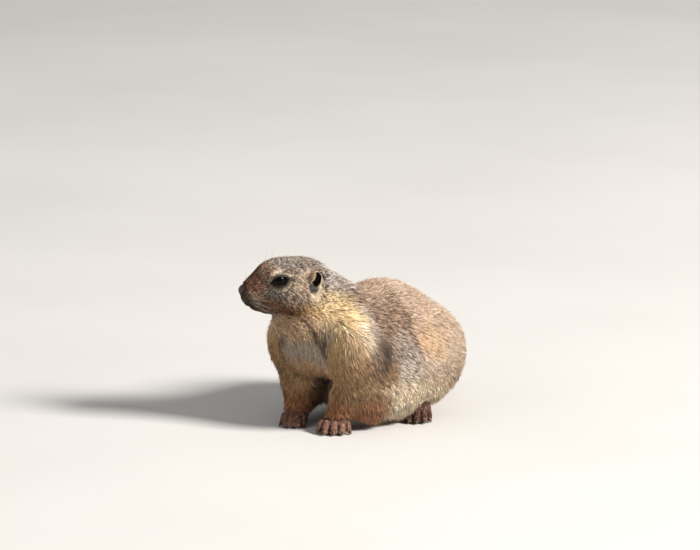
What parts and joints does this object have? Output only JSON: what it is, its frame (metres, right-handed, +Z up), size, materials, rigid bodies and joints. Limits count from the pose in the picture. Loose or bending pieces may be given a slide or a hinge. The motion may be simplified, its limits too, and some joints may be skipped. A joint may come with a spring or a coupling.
{
  "type": "prairie dog",
  "caption": "Life-size black-tailed prairie dog crouching on all fours, head turned to its right, short tail with a dark tip curled on the floor.",
  "frame": {"origin": "middle of the underside of the bounding box, on the floor", "axes": "+Z up; the body faces -Y and its left side is towards +X"},
  "size_m": [0.1268, 0.191, 0.1235],
  "materials": {
    "coat": "short dense grizzled fur, matte",
    "black_tip": "short dark brown-black fur, matte",
    "muddy_skin": "bare skin and short fur caked with dried red-brown mud, matte",
    "claw": "dark horn, dulled by soil",
    "eye": "wet black, glossy",
    "nose": "dark grey bare skin, finely pebbled"
  },
  "bodies": {
    "root": {"head": "coat", "left_ear": "coat", "left_eye": "eye", "left_forepaw": "muddy_skin", "left_forepaw_claw_1": "claw", "left_forepaw_claw_2": "claw", "left_forepaw_claw_3": "claw", "left_forepaw_claw_4": "claw", "left_forepaw_claw_5": "claw", "left_hindfoot": "muddy_skin", "left_hindfoot_claw_1": "claw", "left_hindfoot_claw_2": "claw", "left_hindfoot_claw_3": "claw", "left_hindfoot_claw_4": "claw", "left_hindfoot_claw_5": "claw", "left_lower_foreleg": "coat", "left_thigh": "coat", "left_upper_foreleg": "coat", "lower_jaw": "coat", "neck": "coat", "nose": "nose", "right_ear": "coat", "right_eye": "eye", "right_forepaw": "muddy_skin", "right_forepaw_claw_1": "claw", "right_forepaw_claw_2": "claw", "right_forepaw_claw_3": "claw", "right_forepaw_claw_4": "claw", "right_forepaw_claw_5": "claw", "right_hindfoot": "muddy_skin", "right_hindfoot_claw_1": "claw", "right_hindfoot_claw_2": "claw", "right_hindfoot_claw_3": "claw", "right_hindfoot_claw_4": "claw", "right_hindfoot_claw_5": "claw", "right_lower_foreleg": "coat", "right_thigh": "coat", "right_upper_foreleg": "coat", "tail": "coat", "tail_tip": "black_tip", "torso": "coat"}
  },
  "joints": []
}
